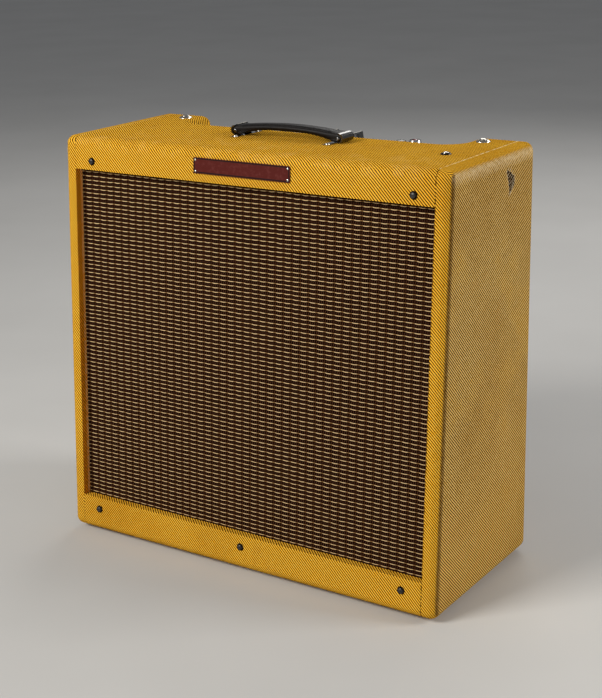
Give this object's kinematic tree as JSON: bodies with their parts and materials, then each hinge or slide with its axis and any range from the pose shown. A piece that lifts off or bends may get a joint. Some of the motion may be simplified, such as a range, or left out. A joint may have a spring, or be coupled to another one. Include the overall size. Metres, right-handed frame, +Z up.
{
  "type": "guitar amplifier combo",
  "caption": "Tweed-covered combo guitar amplifier: leaning front with woven grille, open back, loudspeakers on a baffle, top-facing controls in a rear cut-out, leather strap handle.",
  "frame": {"origin": "on the floor, under the middle of the cabinet's footprint", "axes": "+X to the right seen from the front, +Y from the front to the rear, +Z up"},
  "size_m": [0.597, 0.2679, 0.5885],
  "materials": {
    "pine": "bare sawn pine, waxy from age",
    "plywood": "bare birch plywood",
    "tweed": "lacquered diagonal-stripe cotton twill",
    "grille_fabric": "coarse woven saran grille cloth",
    "burgundy_enamel": "glossy enamel on pressed brass",
    "nickel": "nickel plate, slightly dulled",
    "chrome": "bright chrome plate",
    "chromed_steel": "polished plated sheet steel",
    "zinc_plate": "dull zinc plate",
    "dark_steel": "black oxide",
    "black_leather": "stitched vegetable-tanned hide, worn at the edges",
    "black_phenolic": "moulded phenolic",
    "brown_phenolic": "moulded phenolic",
    "red_glass": "faceted coloured glass",
    "clear_glass": "thin blown glass",
    "black_enamel": "baked enamel",
    "fibre_board": "waxed vulcanised fibre",
    "capacitor_card": "waxed card sleeve",
    "black_rubber": "moulded rubber",
    "speaker_steel": "grey-blue pressed steel, painted",
    "magnet_cover": "grey paint on the magnet cover",
    "cone_paper": "pulp paper cone, treated edge",
    "lead_cloth": "cloth-covered hook-up wire"
  },
  "bodies": {
    "cabinet": {"back_panel_screws": "nickel", "baffle_board": "plywood", "baffle_screws": "dark_steel", "bottom_board": "pine", "cabinet_cleats": "pine", "chassis": "chromed_steel", "choke": "black_enamel", "circuit_board": "fibre_board", "covering_back_panels": "tweed", "covering_bottom": "tweed", "covering_left": "tweed", "covering_right": "tweed", "covering_top": "tweed", "cup_washers": "nickel", "filter_capacitor_cover": "chromed_steel", "filter_capacitors": "capacitor_card", "floor_glides": "nickel", "fuse_holder": "chrome", "grille_cloth": "grille_fabric", "handle_brackets": "chrome", "input_jacks": "zinc_plate", "lower_back_panel": "plywood", "lower_front_board": "pine", "mains_grommet": "black_rubber", "nameplate": "burgundy_enamel", "nameplate_nails": "nickel", "octal_tubes": "clear_glass", "output_transformer": "black_enamel", "pilot_jewel": "red_glass", "pilot_lamp_holder": "chrome", "potentiometers": "zinc_plate", "power_transformer": "black_enamel", "preamp_tubes": "clear_glass", "side_board_left": "pine", "side_board_right": "pine", "speaker_bolts": "dark_steel", "speaker_frames": "speaker_steel", "speaker_leads": "lead_cloth", "speaker_magnets": "magnet_cover", "toggle_switch_bodies": "zinc_plate", "top_board": "pine", "top_screws": "nickel", "tube_sockets": "brown_phenolic", "upper_back_panel": "plywood", "upper_front_board": "pine"},
    "handle": {"handle_strap": "black_leather", "handle_end_fittings": "chrome"},
    "fuse_carrier": {"fuse_cap": "black_phenolic"},
    "power_lever": {"power_toggle_lever": "chrome"},
    "standby_lever": {"standby_toggle_lever": "chrome"},
    "normal_volume_knob": {"knob_normal_volume": "black_phenolic"},
    "bright_volume_knob": {"knob_bright_volume": "black_phenolic"},
    "treble_knob": {"knob_treble": "black_phenolic"},
    "bass_knob": {"knob_bass": "black_phenolic"},
    "middle_knob": {"knob_middle": "black_phenolic"},
    "presence_knob": {"knob_presence": "black_phenolic"},
    "cone_upper_left": {"speaker_cone_upper_left": "cone_paper"},
    "cone_upper_right": {"speaker_cone_upper_right": "cone_paper"},
    "cone_lower_left": {"speaker_cone_lower_left": "cone_paper"},
    "cone_lower_right": {"speaker_cone_lower_right": "cone_paper"}
  },
  "joints": [
    {"name": "handle_lift", "type": "slide", "parent": "cabinet", "child": "handle", "axis": [0, 0, 1], "range_m": [0, 0.0015]},
    {"name": "normal_volume_turn", "type": "hinge", "parent": "cabinet", "child": "normal_volume_knob", "pos_m": [-0.134, 0.09, 0.5565], "axis": [0, 0, 1], "range_deg": [-150, 150]},
    {"name": "bright_volume_turn", "type": "hinge", "parent": "cabinet", "child": "bright_volume_knob", "pos_m": [-0.096, 0.09, 0.5565], "axis": [0, 0, 1], "range_deg": [-150, 150]},
    {"name": "treble_turn", "type": "hinge", "parent": "cabinet", "child": "treble_knob", "pos_m": [-0.058, 0.09, 0.5565], "axis": [0, 0, 1], "range_deg": [-150, 150]},
    {"name": "bass_turn", "type": "hinge", "parent": "cabinet", "child": "bass_knob", "pos_m": [-0.02, 0.09, 0.5565], "axis": [0, 0, 1], "range_deg": [-150, 150]},
    {"name": "middle_turn", "type": "hinge", "parent": "cabinet", "child": "middle_knob", "pos_m": [0.018, 0.09, 0.5565], "axis": [0, 0, 1], "range_deg": [-150, 150]},
    {"name": "presence_turn", "type": "hinge", "parent": "cabinet", "child": "presence_knob", "pos_m": [0.056, 0.09, 0.5565], "axis": [0, 0, 1], "range_deg": [-150, 150]},
    {"name": "power_flip", "type": "hinge", "parent": "cabinet", "child": "power_lever", "pos_m": [0.17, 0.09, 0.5532], "axis": [1, 0, 0], "range_deg": [0, 24]},
    {"name": "standby_flip", "type": "hinge", "parent": "cabinet", "child": "standby_lever", "pos_m": [0.092, 0.09, 0.5532], "axis": [1, 0, 0], "range_deg": [0, 24]},
    {"name": "fuse_pull", "type": "slide", "parent": "cabinet", "child": "fuse_carrier", "axis": [0, 0, 1], "range_m": [0, 0.03]},
    {"name": "cone_upper_left_travel", "type": "slide", "parent": "cabinet", "child": "cone_upper_left", "axis": [0, 0.9979, -0.0653], "range_m": [-0.0012, 0.0012], "stiffness_N_per_m": 3500},
    {"name": "cone_upper_right_travel", "type": "slide", "parent": "cabinet", "child": "cone_upper_right", "axis": [0, 0.9979, -0.0653], "range_m": [-0.0012, 0.0012], "stiffness_N_per_m": 3500},
    {"name": "cone_lower_left_travel", "type": "slide", "parent": "cabinet", "child": "cone_lower_left", "axis": [0, 0.9979, -0.0653], "range_m": [-0.0012, 0.0012], "stiffness_N_per_m": 3500},
    {"name": "cone_lower_right_travel", "type": "slide", "parent": "cabinet", "child": "cone_lower_right", "axis": [0, 0.9979, -0.0653], "range_m": [-0.0012, 0.0012], "stiffness_N_per_m": 3500}
  ]
}
